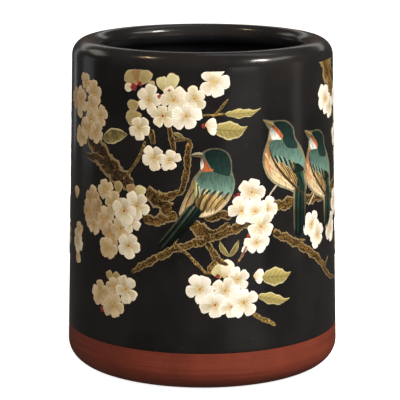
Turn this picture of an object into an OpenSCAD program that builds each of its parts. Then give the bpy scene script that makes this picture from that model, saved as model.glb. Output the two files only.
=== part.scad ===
// Brush pot: a stoneware vessel with a rolled rim, black glaze inside and out, a bare
// clay foot, and an enamel print of blossoming branches and perching birds.

/* [Body] */
// Height from the table to the crest of the rim
pot_h = 114; // [95:1:137]
// Outside diameter of the wall, taken down to the table
base_d = 96; // [80:1:116]
// Outside diameter of the wall, taken up to the crest
top_d = 90.4; // [75.2:0.4:108.8]
// Thickness of the wall, glaze included
wall_t = 6; // [5:0.2:7.2]
// Thickness of the floor, glaze included
floor_t = 8; // [6.6:0.2:9.6]
// Radius where the inside of the wall meets the floor
corner_r = 7; // [5:0.2:8.4]

/* [Rim] */
// Radius of the outer shoulder of the rim
rim_r = 5.75; // [4.75:0.05:6.9]
// Radius of the lip that rolls inwards from the crest
lip_r = 3.9; // [3.2:0.1:4.7]
// Radius of the hollow under the lip
throat_r = 5; // [4:0.2:6]

/* [Foot] */
// Radius round the outside of the foot
foot_r = 7; // [5.8:0.2:8.4]
// Width of the ring that the pot stands on
foot_w = 5; // [4:0.2:6]
// Depth of the turned recess under the floor
recess_h = 2.2; // [1.8:0.1:2.6]
// Draft of the recess, inwards from the ring
recess_draft = 1.6; // [1.2:0.1:2]

/* [Glaze] */
// Height of the straight line where the glaze stops
glaze_line = 13.5; // [11.2:0.1:16.2]
// Thickness of the glaze
glaze_t = 0.5; // [0.4:0.02:0.6]

/* [Print] */
// Thickness of the fired enamel
print_t = 0.2; // [0.16:0.01:0.24]

/* [Hidden] */
$fn = 96;

clay = "#8a3f2c";
black_glaze = "#1b1817";
cream = "#f0e8d4";
olive = "#b3a560";
bark = "#7a6030";
plumage = "#3f6f60";

// The wall is a cone: k is its fall in radius for each millimetre of height
base_r = base_d / 2;
k = (base_d - top_d) / 2 / pot_h;
lean = atan(k);
out = [cos(lean), sin(lean)];
function wall_r(z) = base_r - k * z;
function inner_r(z) = wall_r(z) - wall_t / cos(lean);

// Centres of the shoulder, the lip and the foot's round
rim_at = [wall_r(pot_h - rim_r) - rim_r / cos(lean), pot_h - rim_r];
lip_at = [rim_at.x, pot_h - lip_r];
foot_at = [wall_r(foot_r) - foot_r / cos(lean), foot_r];
// Centre of the corner inside, touching the floor and the wall
corner_z = floor_t + corner_r;
corner_at = [inner_r(corner_z) - corner_r / cos(lean), corner_z];
// Centre of the hollow under the lip, touching the lip and the wall inside
hollow_r0 = inner_r(0) - throat_r / cos(lean) - lip_at.x;
hollow_b = hollow_r0 * k + lip_at.y;
hollow_c = hollow_r0 ^ 2 + lip_at.y ^ 2 - (lip_r + throat_r) ^ 2;
hollow_z = (hollow_b - sqrt(hollow_b ^ 2 - (1 + k ^ 2) * hollow_c)) / (1 + k ^ 2);
hollow_at = [inner_r(hollow_z) - throat_r / cos(lean), hollow_z];
recess_r = foot_at.x - foot_w;
above = pot_h + 10;
below = -1;
// The clay behind the hollow reaches this far out from the lip's centre, and this far up
fill = [rim_r / 2, rim_r / 4];

// The print is drawn on a band of this length and these heights, and shrinks or spreads
// with the wall that carries it
drawn_len = 292.8;
drawn_low = 13.5;
drawn_top = 108.4;
print_top = rim_at.y + rim_r * sin(lean);
rise = (print_top - glaze_line) / (drawn_top - drawn_low);
spread = 2 * PI * (wall_r(0) + wall_r(pot_h)) / 2 / drawn_len;
print_scale = min(rise, spread);
core_r = base_r / 2;
reach = base_r;
// Sizes in the drawing: an open blossom's radius, and half the thickness of the thin
// twigs and of the branches
blossom_r = 4.6;
twig_w = 0.5;
branch_w = 1.4;
// A knot's radius for each half thickness of its limb
knot = 1.1;

// Half-section of the pot as a full block, its skin brought in by d
module block_section(d) {
    polygon([
        [0, 0], [foot_at.x, 0], foot_at, foot_at + (foot_r - d) * out,
        rim_at + (rim_r - d) * out, rim_at, [rim_at.x, pot_h - d], [0, pot_h - d]
    ]);
    translate(foot_at) circle(r = foot_r - d);
    intersection() {
        translate(rim_at) circle(r = rim_r - d);
        translate([rim_at.x, 0]) square([base_r, above]);
    }
}

// Half-section of the hollow, its skin moved out into the wall by d. Under the lip, the
// clay fills what lies behind a round that touches the lip and the wall.
module well_section(d) {
    difference() {
        union() {
            polygon([
                [0, floor_t - d], [corner_at.x, floor_t - d], corner_at,
                corner_at + (corner_r + d) * out, hollow_at + (throat_r + d) * out,
                lip_at, [lip_at.x, above], [0, above]
            ]);
            translate(corner_at) circle(r = corner_r + d);
        }
        translate(lip_at) circle(r = lip_r - d);
        difference() {
            polygon([
                lip_at, hollow_at, hollow_at + (throat_r + wall_t / 2) * out,
                lip_at + fill, lip_at + [0, fill.y]
            ]);
            translate(hollow_at) circle(r = throat_r + d);
        }
    }
}

module clay_body() {
    color(clay) rotate_extrude() difference() {
        union() {
            block_section(glaze_t);
            intersection() {
                block_section(0);
                square([base_d, glaze_line]);
            }
        }
        well_section(glaze_t);
        polygon([
            [0, below], [recess_r, below], [recess_r, 0], [recess_r - recess_draft, recess_h],
            [0, recess_h]
        ]);
    }
}

// The coat outside runs from the glaze line over the crest to the narrowest of the mouth
module outer_glaze() {
    color(black_glaze) rotate_extrude() {
        intersection() {
            difference() {
                block_section(0);
                block_section(glaze_t);
            }
            translate([rim_at.x, glaze_line]) square([base_r, above]);
        }
        intersection() {
            difference() {
                well_section(glaze_t);
                well_section(0);
            }
            translate([0, lip_at.y]) square([lip_at.x, above]);
        }
    }
}

module inner_glaze() {
    color(black_glaze) rotate_extrude() intersection() {
        difference() {
            well_section(glaze_t);
            well_section(0);
        }
        square([base_r, lip_at.y]);
    }
}

// A thin cone of enamel on the glazed wall, which every printed shape is cut from
module film() {
    rotate_extrude() polygon([
        [wall_r(glaze_line), glaze_line], [wall_r(glaze_line) + print_t, glaze_line],
        [wall_r(print_top) + print_t, print_top], [wall_r(print_top), print_top]
    ]);
}

// Prints a flat drawing on the front of the wall and again behind. A drawing's x runs
// round the wall from the middle of the front, and its y is the height above the table.
// The drawing is kept true round the point s, z.
module printed(s, z) {
    intersection() {
        film();
        for (side = [0, 180])
            rotate([0, 0, side + 360 * s / drawn_len])
                translate([0, 0, glaze_line + (z - drawn_low) * rise])
                    rotate([90, 0, 0]) translate([0, 0, core_r]) scale(print_scale)
                        linear_extrude(height = reach / print_scale)
                            translate([-s, -z]) children();
    }
}

// Five round petals about a heart, reaching out to r
module blossom(at, r = blossom_r, turn = 0) {
    translate(at) {
        circle(r = 0.4 * r);
        for (petal = [0:4])
            rotate(72 * petal + turn) translate([0.56 * r, 0]) circle(r = 0.44 * r);
    }
}

// A plain round: a petal seen from behind, a bud, or the round of a bird
module round_of(at, r) {
    translate(at) circle(r = r);
}

// A pointed leaf from p to q, w to each side of its rib
module leaf(p, q, w) {
    length = norm(q - p);
    r = (length ^ 2 / 4 + w ^ 2) / (2 * w);
    translate(p) rotate(atan2(q.y - p.y, q.x - p.x)) intersection() {
        translate([length / 2, r - w]) circle(r = r);
        translate([length / 2, w - r]) circle(r = r);
    }
}

// A limb through its points, with a small knot at each
module limb(points, w) {
    for (i = [0:len(points) - 2]) {
        p = points[i];
        q = points[i + 1];
        translate(p) rotate(atan2(q.y - p.y, q.x - p.x)) translate([0, -w]) square([norm(q - p), 2 * w]);
    }
    for (p = points) translate(p) circle(r = w * knot);
}

module trunk_left() {
    color(bark) printed(-36, 76) {
        limb([[-43, 76.6], [-37, 76.8], [-30.6, 75]], 2.3 * branch_w);
        limb([[-33, 71], [-24, 72], [-21.2, 83.6]], twig_w);
    }
}

module stem_middle() {
    color(bark) printed(-8, 80) {
        limb([[-16.8, 86], [-16.4, 84.5]], 1.6 * twig_w);
        limb([[-10.6, 87], [-9.4, 84.5]], 1.6 * twig_w);
        limb([[-4.8, 84.6], [-5, 79], [-5.5, 73.4]], 2 * twig_w);
    }
}

module branch_middle() {
    color(bark) printed(-12, 62) {
        limb([[-15.6, 67], [-12, 66.4], [-10, 67]], 1.2 * branch_w);
        limb([[-15.6, 59], [-12.4, 60.6], [-12, 65]], 1.5 * branch_w);
    }
}

module branch_low() {
    color(bark) printed(-4, 50) {
        limb([[-22, 41.4], [-17, 45]], branch_w);
        limb([[-8, 50], [-2, 51.6], [4, 54], [8.6, 55.2]], branch_w);
        limb([[3, 52.6], [4.6, 48], [3, 43.4]], branch_w / 2);
        limb([[-8, 48.8], [-2, 43.6]], twig_w);
        leaf([9.2, 47.2], [6, 51.6], 1);
        leaf([9.4, 47.2], [12.2, 51.8], 1);
    }
}

module branch_perch() {
    color(bark) printed(34, 61) {
        limb([[3.4, 58.6], [7, 59]], branch_w);
        limb([[29.2, 62.4], [30.6, 62.8]], branch_w);
        limb([[42, 62.4], [47.4, 61.6]], branch_w);
        limb([[61, 63.4], [63, 64]], branch_w);
    }
}

module branch_arch() {
    color(bark) printed(45, 42) {
        limb([[28.4, 51.6], [32, 50], [37.4, 46.4], [43, 42.8], [48, 38.4], [53, 33.6], [61, 31.4]], branch_w);
    }
}

module trunk_right() {
    color(bark) printed(54, 105) {
        limb([[49, 106.6], [55, 104.4], [62, 106]], 2 * branch_w);
        limb([[48, 109], [62, 109]], 2 * branch_w);
    }
}

module leaf_upper_left() {
    color(olive) printed(-32, 85) leaf([-36, 84], [-27.4, 86.4], 2);
}

module leaves_top() {
    color(olive) printed(12, 92) {
        leaf([5.4, 89.6], [15.4, 91], 2.6);
        leaf([7, 94.6], [20.4, 96], 1.3);
        limb([[1.6, 95.4], [4.4, 95.4], [8.6, 99]], twig_w);
    }
}

module leaves_low() {
    color(olive) printed(26, 34) {
        leaf([22.4, 39.6], [32.4, 40], 2.6);
        leaf([20.4, 32], [31.4, 30], 1.4);
        limb([[18, 25.4], [25.4, 21.4]], 1.5 * twig_w);
    }
}

module blossoms_upper_left() {
    color(cream) printed(-48, 92) {
        for (at = [[-47.5, 101.5], [-42, 97.5], [-57, 95.5], [-50.5, 93.5], [-46, 91.5],
                   [-40, 91.5], [-47, 86.5], [-41.6, 85.5], [-51.5, 82.5]])
            blossom(at, 0.95 * blossom_r);
    }
}

module blossoms_top() {
    color(cream) printed(-8, 97) {
        for (at = [[-22.5, 105.5], [-18.5, 98], [-22, 89.5], [-9.5, 99], [-2, 100.5], [5, 105.2],
                   [-13.5, 93], [-5, 93]])
            blossom(at, 1.05 * blossom_r);
        round_of([-25, 95], 2.4);
        round_of([-24.6, 91.6], 2.6);
        round_of([-13.6, 104.8], 2);
        round_of([-10, 105.4], 2.4);
        round_of([2.4, 91], 2.2);
    }
}

module blossoms_pair() {
    color(cream) printed(-14, 79) {
        blossom([-16.8, 79.2], 0.9 * blossom_r);
        blossom([-10.8, 79], 0.8 * blossom_r);
    }
}

module blossoms_left() {
    color(cream) printed(-33, 58) {
        for (at = [[-42.5, 62], [-44, 57.5], [-36.5, 66], [-32, 63], [-25, 66], [-22.5, 61.5],
                   [-27.5, 60], [-42, 53.4], [-36.2, 57.2], [-30.5, 54.5], [-34.5, 47.8], [-26.5, 49.4]])
            blossom(at, blossom_r);
        round_of([-30, 68], 2);
    }
}

module blossoms_far_left() {
    color(cream) printed(-54, 50) {
        round_of([-55.5, 62.5], 2.6);
        blossom([-53.5, 46], 1.05 * blossom_r);
        round_of([-53.4, 40.6], 2);
    }
}

module blossoms_low_left() {
    color(cream) printed(-33, 31) {
        for (at = [[-38.5, 30.4], [-27.2, 34], [-31.5, 27.8]]) blossom(at, blossom_r);
        round_of([-33.8, 37.4], 1.8);
        round_of([-31, 37.4], 1.8);
        round_of([-32.6, 33.6], 2.6);
    }
}

module blossoms_low() {
    color(cream) printed(8, 34) {
        for (at = [[-1.2, 36], [4.6, 30.4], [9.8, 31], [14.6, 30.4], [9, 37], [11.4, 39.6]])
            blossom(at, 1.05 * blossom_r);
        round_of([19.2, 39.6], 2.1);
    }
}

module blossoms_centre() {
    color(cream) printed(18, 60) {
        for (at = [[17, 68.2], [13.6, 61.4], [19.6, 63.2], [22.4, 61.6], [20.6, 56.6], [18.4, 51]])
            blossom(at, blossom_r);
    }
}

module blossoms_right() {
    color(cream) printed(50, 51) {
        blossom([43.4, 53.4], blossom_r);
        blossom([46.4, 50.4], blossom_r);
        blossom([57, 49.6], 1.05 * blossom_r);
    }
}

module blossoms_upper_right() {
    color(cream) printed(54, 94) {
        blossom([52.4, 95.4], 1.1 * blossom_r);
        blossom([56.6, 92.6], blossom_r);
    }
}

module blossoms_side() {
    color(cream) printed(73, 70) {
        for (at = [[67, 95], [70, 88], [66, 81], [70, 74], [68.6, 56.6], [73, 54], [78, 45], [72, 41]])
            blossom(at, blossom_r);
    }
}

// A bird that looks out to the left over its shoulder
module bird_left() {
    color(plumage) printed(-2, 68) {
        round_of([5, 78], 5);
        polygon([[-3.2, 80.8], [0.6, 82], [1, 77.6], [-1, 79.4]]);
        round_of([4.6, 69.6], 6.4);
        leaf([9, 80], [-2, 60.4], 5.4);
        leaf([0.8, 77], [-8, 60.6], 2.4);
        polygon([[0, 64], [-6.4, 63.4], [-15.4, 51], [-12, 49.4], [-1.4, 61]]);
    }
}

// A bird that sits upright, drawn from its perch, with as much of its tail as shows
module upright_bird(at, tail) {
    translate(at) {
        round_of([-4.2, 22.2], 4.9);
        polygon([[-11.8, 27.6], [-6.6, 27], [-9, 22.4]]);
        round_of([-4.6, 14.8], 7.4);
        leaf([-4, 26], [5.2, -2], 6);
        polygon([[-10.6, 10.4], [-7.6, 5.8], [-1, 2.6], [3, 2], [3, 12]]);
        polygon([[0.4, 3], [0, 1 - tail], [2.4, -tail], [5.2, 1 - tail], [6, 2]]);
    }
}

module bird_middle() {
    color(plumage) printed(31, 72) upright_bird([33, 64], 12.4);
}

module bird_right() {
    color(plumage) printed(49, 68) upright_bird([52.6, 59.4], 4.4);
}

clay_body();
outer_glaze();
inner_glaze();
trunk_left();
stem_middle();
branch_middle();
branch_low();
branch_perch();
branch_arch();
trunk_right();
leaf_upper_left();
leaves_top();
leaves_low();
blossoms_upper_left();
blossoms_top();
blossoms_pair();
blossoms_left();
blossoms_far_left();
blossoms_low_left();
blossoms_low();
blossoms_centre();
blossoms_right();
blossoms_upper_right();
blossoms_side();
bird_left();
bird_middle();
bird_right();
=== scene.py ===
import math
import bpy
import numpy as np
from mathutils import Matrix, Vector


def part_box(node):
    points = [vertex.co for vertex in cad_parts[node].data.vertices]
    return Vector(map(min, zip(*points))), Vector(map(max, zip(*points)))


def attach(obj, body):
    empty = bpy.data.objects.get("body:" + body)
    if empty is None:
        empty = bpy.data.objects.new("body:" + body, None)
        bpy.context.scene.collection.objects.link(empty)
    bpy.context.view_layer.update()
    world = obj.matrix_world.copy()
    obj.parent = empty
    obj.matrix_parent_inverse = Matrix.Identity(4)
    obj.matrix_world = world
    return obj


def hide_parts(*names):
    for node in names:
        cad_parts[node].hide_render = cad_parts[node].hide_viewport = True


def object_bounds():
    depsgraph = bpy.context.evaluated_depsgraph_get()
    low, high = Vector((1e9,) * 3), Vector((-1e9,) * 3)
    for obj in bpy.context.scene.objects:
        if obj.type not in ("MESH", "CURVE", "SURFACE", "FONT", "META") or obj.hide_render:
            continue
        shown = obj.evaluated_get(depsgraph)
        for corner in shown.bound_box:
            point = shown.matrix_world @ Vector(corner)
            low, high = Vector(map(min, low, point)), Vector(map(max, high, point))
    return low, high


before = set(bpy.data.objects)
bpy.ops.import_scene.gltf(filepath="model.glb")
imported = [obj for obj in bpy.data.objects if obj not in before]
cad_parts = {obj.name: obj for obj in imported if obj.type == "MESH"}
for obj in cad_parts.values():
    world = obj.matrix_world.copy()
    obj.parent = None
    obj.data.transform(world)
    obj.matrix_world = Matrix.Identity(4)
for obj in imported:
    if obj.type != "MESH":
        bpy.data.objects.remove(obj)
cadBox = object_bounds()
chance = np.random.default_rng(11)   # every random draw comes from here, in the order of the script
print("frame loaded")

# sizes of the pot, in millimetres
pot = {
    "height": cadBox[1].z * 1000,
    "glazeLine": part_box("outer_glaze")[0].z * 1000,
    "baseRadius": 48, "topRadius": 45.2, "wall": 6, "floor": 8, "corner": 7,
    "shoulder": 5.75, "lip": 3.9, "throat": 5,
    "foot": 7, "footRing": 5, "footEase": 0.5, "recess": 2.2, "recessDraft": 1.6,
    "glaze": 0.5, "glazeEdge": 0.22,
    "unevenness": 0.05, "calm": 10,   # the unevenness dies away this near the axis
    "segments": 256,
}
fall = (pot["baseRadius"] - pot["topRadius"]) / pot["height"]   # loss of radius per millimetre of height
lean = math.atan(fall)
leanDegrees = math.degrees(lean)
outward = np.array([math.cos(lean), math.sin(lean)])


def wallRadius(z):
    # radius = base radius - fall * z
    return pot["baseRadius"] - fall * z


def innerRadius(z):
    # the wall's thickness is measured square to its slope: radius - thickness / cos(lean)
    return wallRadius(z) - pot["wall"] / outward[0]


def wobble(angle, z):
    # the throwing leaves the wall a little out of round: two slow waves round it, turning with height
    return pot["unevenness"] * (np.sin(2 * angle + z / 31) + 0.6 * np.sin(3 * angle - z / 23 + 1))


def hexColour(text):
    # sRGB hex to the linear colour that shaders use
    c = np.array([int(text[i:i + 2], 16) for i in (1, 3, 5)]) / 255
    return np.where(c <= 0.04045, c / 12.92, ((c + 0.055) / 1.055) ** 2.4)


def makePiece(name, points, faces, materials, node, maps=(), paint=None, finish=None, crease=40):
    # one mesh in metres from whole arrays, with its maps, riding on the root in place of its CAD node;
    # edges that turn by more than crease degrees stay sharp
    mesh = bpy.data.meshes.new(name)
    mesh.from_pydata(points.tolist(), [], faces)
    corner = np.zeros(len(mesh.loops), np.int32)
    mesh.loops.foreach_get("vertex_index", corner)
    for title, values in maps:
        mesh.uv_layers.new(name=title).uv.foreach_set("vector", values[corner].astype(np.float32).ravel())
    if paint is not None:
        colours = np.concatenate([paint, np.ones((len(paint), 1))], 1).astype(np.float32)
        mesh.color_attributes.new("paint", "FLOAT_COLOR", "POINT").data.foreach_set("color",
                                                                                    colours.ravel())
    for material in materials:
        mesh.materials.append(material)
    if finish is not None:
        mesh.polygons.foreach_set("material_index", finish.astype(np.int32))
    mesh.polygons.foreach_set("use_smooth", np.ones(len(mesh.polygons), bool))
    mesh.set_sharp_from_angle(angle=math.radians(crease))
    mesh.validate()
    mesh.update()
    piece = bpy.data.objects.new(name, mesh)
    bpy.context.scene.collection.objects.link(piece)
    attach(piece, "root")
    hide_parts(node)


def arc(centre, radius, start, end, count):
    # centre + radius * (cos a, sin a), a from start to end in degrees
    a = np.radians(np.linspace(start, end, count))
    return np.stack([centre[0] + radius * np.cos(a), centre[1] + radius * np.sin(a)], 1)


def straight(p, q, count):
    # p + t * (q - p), t from 0 to 1
    t = np.linspace(0, 1, count)[:, None]
    return np.array(p) * (1 - t) + np.array(q) * t


def lathe(profile, closed):
    # (radius + wobble) * (sin a, -cos a) and z, for each profile point and each a of a full turn;
    # an open profile starts and ends on the axis, where one vertex closes the skin
    turns, ends = pot["segments"], profile[[0, -1], 1]
    a = np.arange(turns) * 2 * np.pi / turns
    profile = profile if closed else profile[1:-1]
    count = len(profile)
    r, z = profile[:, :1], profile[:, 1:]
    r = r + wobble(a, z) * np.clip(r / pot["calm"], 0, 1)
    points = np.stack([r * np.sin(a), -r * np.cos(a), z + 0 * a], -1).reshape(-1, 3)
    i, j = np.meshgrid(np.arange(count if closed else count - 1), np.arange(turns), indexing="ij")
    here, up, following = i * turns, (i + 1) % count * turns, (j + 1) % turns
    faces = np.stack([here + j, here + following, up + following, up + j], -1).reshape(-1, 4).tolist()
    if not closed:
        first, top = len(points), (count - 1) * turns
        j, following = j[0], following[0]
        faces += np.stack([0 * j + first, following, j], 1).tolist()
        faces += np.stack([top + j, top + following, 0 * j + first + 1], 1).tolist()
        points = np.concatenate([points, [[0, 0, ends[0]], [0, 0, ends[1]]]])
    return points / 1000, faces


shoulderZ = pot["height"] - pot["shoulder"]
shoulderAt = np.array([wallRadius(shoulderZ) - pot["shoulder"] / outward[0], shoulderZ])
lipAt = np.array([shoulderAt[0], pot["height"] - pot["lip"]])
footAt = np.array([wallRadius(pot["foot"]) - pot["foot"] / outward[0], pot["foot"]])
cornerZ = pot["floor"] + pot["corner"]
cornerAt = np.array([innerRadius(cornerZ) - pot["corner"] / outward[0], cornerZ])
# the hollow under the lip touches the lip's round and the wall inside: a quadratic for its height
hollowR = innerRadius(0) - pot["throat"] / outward[0] - lipAt[0]
hollowB = hollowR * fall + lipAt[1]
hollowC = hollowR ** 2 + lipAt[1] ** 2 - (pot["lip"] + pot["throat"]) ** 2
hollowZ = (hollowB - math.sqrt(hollowB ** 2 - (1 + fall ** 2) * hollowC)) / (1 + fall ** 2)
hollowAt = np.array([innerRadius(hollowZ) - pot["throat"] / outward[0], hollowZ])
tangent = math.degrees(math.atan2(*(lipAt - hollowAt)[::-1]))   # from the hollow's centre to the lip's


def outerSkin(d):
    # the wall from the glaze line to the crest and on to the narrowest of the mouth, brought in by d
    low = np.array([wallRadius(pot["glazeLine"]) - d * outward[0], pot["glazeLine"]])
    return [straight(low, shoulderAt + (pot["shoulder"] - d) * outward, 70)[:-1],
            arc(shoulderAt, pot["shoulder"] - d, leanDegrees, 90, 20)[:-1],
            arc(lipAt, pot["lip"] - d, 90, 180, 18)]


def innerSkin(d):
    # from the narrowest of the mouth down the inside to the middle of the floor, moved into the wall by d
    hollow, corner, floorZ = pot["throat"] + d, pot["corner"] + d, pot["floor"] - d
    return [arc(lipAt, pot["lip"] - d, 180, 180 + tangent, 12)[:-1],
            arc(hollowAt, hollow, tangent, leanDegrees, 14)[:-1],
            straight(hollowAt + hollow * outward, cornerAt + corner * outward, 50)[:-1],
            arc(cornerAt, corner, leanDegrees, -90, 16)[:-1],
            straight([cornerAt[0], floorZ], [0, floorZ], 14)]


def addNode(tree, kind, inputs=(), take=None, **settings):
    # one node with its settings; inputs go by name, or in the order of the sockets in use, each a value
    # or the output that feeds it; gives back the output called take, or else the first in use
    made = tree.nodes.new(kind)
    for key, value in settings.items():
        setattr(made, key, value)
    sockets = [socket for socket in made.inputs if socket.enabled]
    for key, value in (inputs.items() if isinstance(inputs, dict) else enumerate(inputs)):
        socket = sockets[key] if isinstance(key, int) else made.inputs[key]
        if isinstance(value, bpy.types.NodeSocket):
            tree.links.new(value, socket)
        else:
            socket.default_value = value
    return made.outputs[take] if take else next(out for out in made.outputs if out.enabled)


def newMaterial(name):
    material = bpy.data.materials.new(name)
    material.use_nodes = True
    return material, material.node_tree, material.node_tree.nodes["Principled BSDF"]


def rgba(text):
    return (*hexColour(text), 1)


def perMetre(size):
    # a pattern's scale, from the size of what repeats in it in millimetres
    return 1000 / size


def finishShader(tree, shader, base, rough, bump, ior):
    # the maps go to the shader's own sockets
    for key, value in (("Base Color", base), ("Roughness", rough), ("Normal", bump)):
        tree.links.new(value, shader.inputs[key])
    shader.inputs["IOR"].default_value = ior


def layers(tree, base, rows):
    # laid one over another: each row is (map, from, to, share at from, share at to, colour, blend)
    for mask, low, high, first, last, colour, blend in rows:
        share = addNode(tree, "ShaderNodeMapRange", [mask, low, high, first, last])
        base = addNode(tree, "ShaderNodeMix", [share, base, colour], data_type="RGBA", blend_type=blend)
    return base


def glazedStoneware(name, look):
    # a dipped glaze, fired to glass: it pools and thins a little, so the colour drifts, the surface
    # is wavy over some 10 mm, and a few pinholes break the shine
    material, tree, shader = newMaterial(name)
    place = addNode(tree, "ShaderNodeTexCoord", take="Object")
    drift = addNode(tree, "ShaderNodeTexNoise", [place, perMetre(look["driftSize"]), 3])
    share = addNode(tree, "ShaderNodeMapRange", [drift, 0.35, 0.65, 0, 1])
    base = addNode(tree, "ShaderNodeMix", [share, rgba(look["deep"]), rgba(look["thin"])], data_type="RGBA")
    spot = addNode(tree, "ShaderNodeTexVoronoi", [place, perMetre(look["speckGap"])])
    dot = addNode(tree, "ShaderNodeMapRange", [spot, 0, 0.16, 1, 0])
    share = addNode(tree, "ShaderNodeMath", [dot, 0.55], operation="MULTIPLY")
    base = addNode(tree, "ShaderNodeMix", [share, base, rgba(look["speck"])], data_type="RGBA")
    rough = addNode(tree, "ShaderNodeMapRange", [drift, 0, 1, *look["roughness"]])
    wave = addNode(tree, "ShaderNodeTexNoise", [place, perMetre(look["waveSize"]), 1])
    peel = addNode(tree, "ShaderNodeTexNoise", [place, perMetre(look["peelSize"]), 2])
    bump = addNode(tree, "ShaderNodeBump", {"Height": wave, "Strength": look["wave"], "Distance": 0.0012})
    bump = addNode(tree, "ShaderNodeBump", {"Height": peel, "Strength": look["peel"], "Distance": 0.0001,
                                            "Normal": bump})
    bump = addNode(tree, "ShaderNodeBump", {"Height": dot, "Strength": 0.25, "Distance": 0.0001,
                                            "Normal": bump}, invert=True)
    finishShader(tree, shader, base, rough, bump, 1.52)
    return material


def bareStoneware(name, look):
    # iron-red stoneware, wiped and left bare: turning lines run level round it, the grog shows as
    # pale and dark grains under 1 mm, and the fired skin has a low sheen
    material, tree, shader = newMaterial(name)
    place = addNode(tree, "ShaderNodeTexCoord", take="Object")
    flat = addNode(tree, "ShaderNodeMapping", {"Vector": place, "Scale": (0.25, 0.25, 14)})
    lines = addNode(tree, "ShaderNodeTexNoise", [flat, perMetre(look["lineSize"]), 4, 0.6])
    cloud = addNode(tree, "ShaderNodeTexNoise", [place, perMetre(look["cloudSize"]), 4, 0.6])
    grain = addNode(tree, "ShaderNodeTexNoise", [place, perMetre(look["grainSize"]), 2, 0.7])
    base = layers(tree, rgba(look["body"]), [
        (cloud, 0.3, 0.7, 0, 1, rgba(look["flashed"]), "MIX"),
        (lines, 0.45, 0.75, 0, 0.55, rgba(look["shade"]), "MIX"),
        (grain, 0.62, 0.76, 0, 0.16, rgba(look["grog"]), "MIX"),
        (grain, 0.26, 0.4, 0.3, 0, rgba(look["iron"]), "MIX")])
    rough = addNode(tree, "ShaderNodeMapRange", [lines, 0, 1, *look["roughness"]])
    bump = addNode(tree, "ShaderNodeBump", {"Height": lines, "Strength": 0.3, "Distance": 0.0004})
    bump = addNode(tree, "ShaderNodeBump", {"Height": grain, "Strength": 0.2, "Distance": 0.00012,
                                            "Normal": bump})
    finishShader(tree, shader, base, rough, bump, 1.5)
    return material


def enamel(name, look, recipe):
    # overglaze enamel, fired on as a thin film: satin beside the glaze, and brushed or stippled by the
    # recipe, which colours it from the stroke's own paint and its maps
    material, tree, shader = newMaterial(name)
    place = addNode(tree, "ShaderNodeTexCoord", take="Object")
    paint = addNode(tree, "ShaderNodeAttribute", take="Color", attribute_name="paint")
    maps = {"place": place, "paint": paint}
    for layer, titles in (("lie", ("along", "across")), ("rim", ("edge", "draw"))):
        both = addNode(tree, "ShaderNodeUVMap", uv_map=layer)
        for axis, title in zip("XY", titles):
            maps[title] = addNode(tree, "ShaderNodeSeparateXYZ", [both], axis)
    base, height = recipe(tree, maps, look)
    cloud = addNode(tree, "ShaderNodeTexNoise", [place, perMetre(2), 2])
    rough = addNode(tree, "ShaderNodeMapRange", [cloud, 0, 1, *look["roughness"]])
    bump = addNode(tree, "ShaderNodeBump", {"Height": height, "Strength": look["relief"],
                                            "Distance": 0.0001})
    finishShader(tree, shader, base, rough, bump, 1.5)
    return material


def petalRecipe(tree, maps, look):
    # pale at the margin, washed with a second colour inside and towards the throat, more on some petals
    # than on others, with faint veins that fan out and a fine dark line where one petal meets the next
    wash = addNode(tree, "ShaderNodeTexNoise", [maps["place"], perMetre(look["washSize"]), 3, 0.55])
    body = addNode(tree, "ShaderNodeMapRange", [maps["edge"], 0.45, 0.95, 1, 0])
    much = addNode(tree, "ShaderNodeMapRange", [maps["draw"], 0, 1, 0, 0.8])
    body = addNode(tree, "ShaderNodeMath", [body, much], operation="MULTIPLY")
    fan = addNode(tree, "ShaderNodeMath", [maps["along"], 0.35])
    fan = addNode(tree, "ShaderNodeMath", [maps["across"], fan], operation="DIVIDE")
    fan = addNode(tree, "ShaderNodeMath", [fan, look["veins"]], operation="MULTIPLY")
    veins = addNode(tree, "ShaderNodeMath", [fan], operation="SINE")
    near = addNode(tree, "ShaderNodeMapRange", [maps["along"], 0.25, 0.75, 1, 0])
    inner = addNode(tree, "ShaderNodeMath", [veins, near], operation="MULTIPLY")
    base = layers(tree, maps["paint"], [
        (body, 0, 1, 0, 0.8, rgba(look["wash"]), "MULTIPLY"),
        (wash, 0.5, 0.72, 0, 0.35, rgba(look["wash"]), "MULTIPLY"),
        (maps["along"], 0.05, 0.55, 0.75, 0, rgba(look["wash"]), "MULTIPLY"),
        (inner, 0.3, 1, 0, 0.3, rgba(look["vein"]), "MIX"),
        (maps["along"], 0.08, 0.27, 0.6, 0, rgba(look["throat"]), "MIX"),
        (maps["edge"], 0.7, 0.92, 0, 0.42, rgba(look["rim"]), "SCREEN"),
        (maps["edge"], 0.95, 1, 0, 0.85, rgba(look["line"]), "MULTIPLY")])
    return base, addNode(tree, "ShaderNodeMath", [veins, wash])


def barkRecipe(tree, maps, look):
    # daubs of gold and near black over the stroke's own brown, and a pale line left along both edges
    twist = addNode(tree, "ShaderNodeTexNoise", {"Vector": maps["place"],
                                                 "Scale": perMetre(look["daubSize"]),
                                                 "Detail": 3, "Roughness": 0.65, "Distortion": 2})
    crack = addNode(tree, "ShaderNodeTexVoronoi", [maps["place"], perMetre(look["crackGap"])],
                    feature="DISTANCE_TO_EDGE")
    patch = addNode(tree, "ShaderNodeTexNoise", [maps["place"], perMetre(look["patchSize"]), 2])
    base = layers(tree, maps["paint"], [
        (twist, 0.48, 0.55, 0, 1, look["gold"], "MULTIPLY"),
        (patch, 0.52, 0.62, 0, 0.6, look["dark"], "MULTIPLY"),
        (twist, 0.4, 0.47, 1, 0, look["dark"], "MULTIPLY"),
        (crack, 0.02, 0.1, 0.7, 0, look["dark"], "MULTIPLY"),
        (twist, 0.6, 0.66, 0, 0.6, look["gold"], "MULTIPLY"),
        (maps["edge"], 0.64, 0.82, 0, 1, rgba(look["line"]), "MIX")])
    return base, addNode(tree, "ShaderNodeMath", [twist, crack])


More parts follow.
